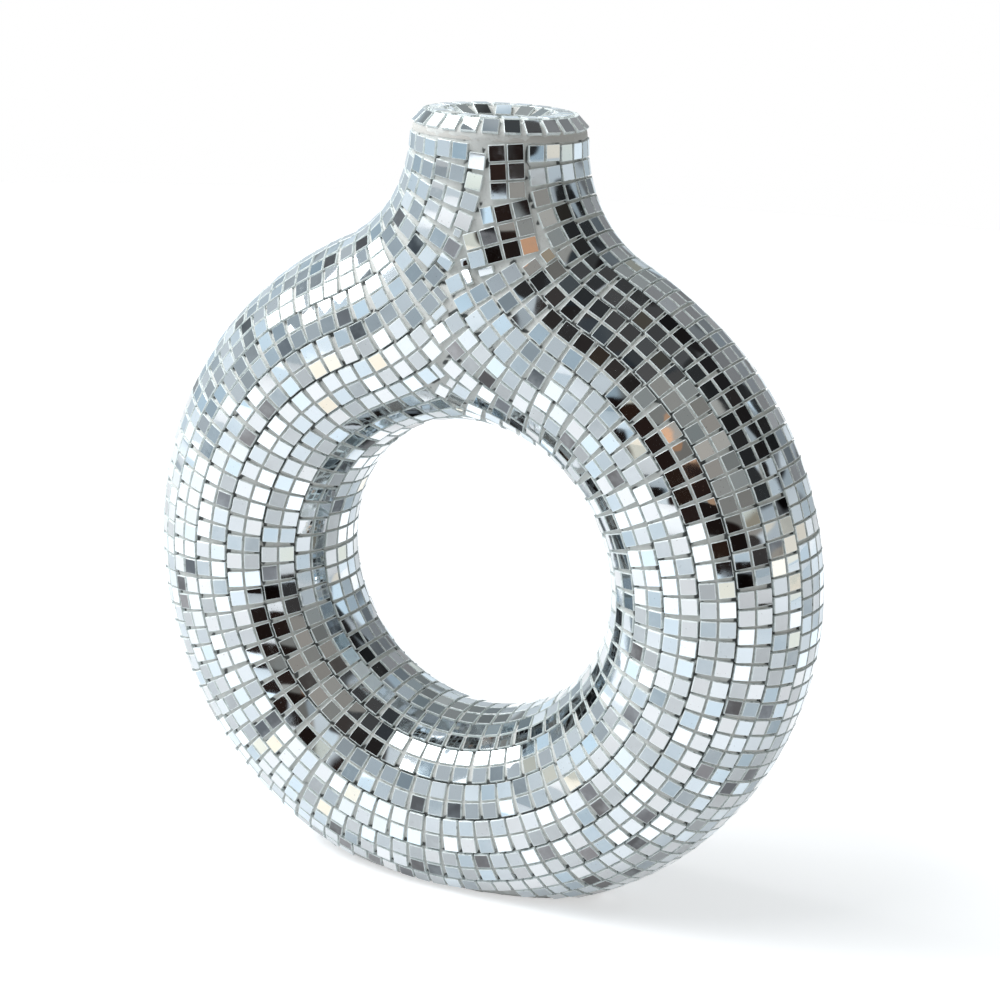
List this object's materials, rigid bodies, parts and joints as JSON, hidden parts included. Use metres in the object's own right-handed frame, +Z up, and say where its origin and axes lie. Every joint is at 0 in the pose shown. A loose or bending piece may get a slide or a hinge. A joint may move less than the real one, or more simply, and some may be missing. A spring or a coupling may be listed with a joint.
{
  "type": "donut vase",
  "caption": "Ring shaped bud vase with a short flared neck, covered all over with small square mirror tiles laid in curving bands.",
  "frame": {"origin": "middle of the flat base, on the surface it stands on", "axes": "+Z up along the neck, -Y towards the front face, X across the ring, whose hole runs along Y"},
  "size_m": [0.1382, 0.0398, 0.151],
  "materials": {
    "shell": "matte",
    "pad": "felt",
    "mirror": "polished"
  },
  "bodies": {
    "root": {"front_shell": "shell", "back_shell": "shell", "base_pad": "pad", "front_band_1": "mirror", "front_band_2": "mirror", "front_band_3": "mirror", "front_band_4": "mirror", "front_band_5": "mirror", "front_band_6": "mirror", "front_band_7": "mirror", "front_band_8": "mirror", "front_band_9": "mirror", "back_band_1": "mirror", "back_band_2": "mirror", "back_band_3": "mirror", "back_band_4": "mirror", "back_band_5": "mirror", "back_band_6": "mirror", "back_band_7": "mirror", "back_band_8": "mirror", "back_band_9": "mirror", "front_neck_strip": "mirror", "back_neck_strip": "mirror", "rim_tiles": "mirror", "crest_tiles": "mirror", "funnel_tiles": "mirror", "mouth_tiles": "mirror"}
  },
  "joints": []
}
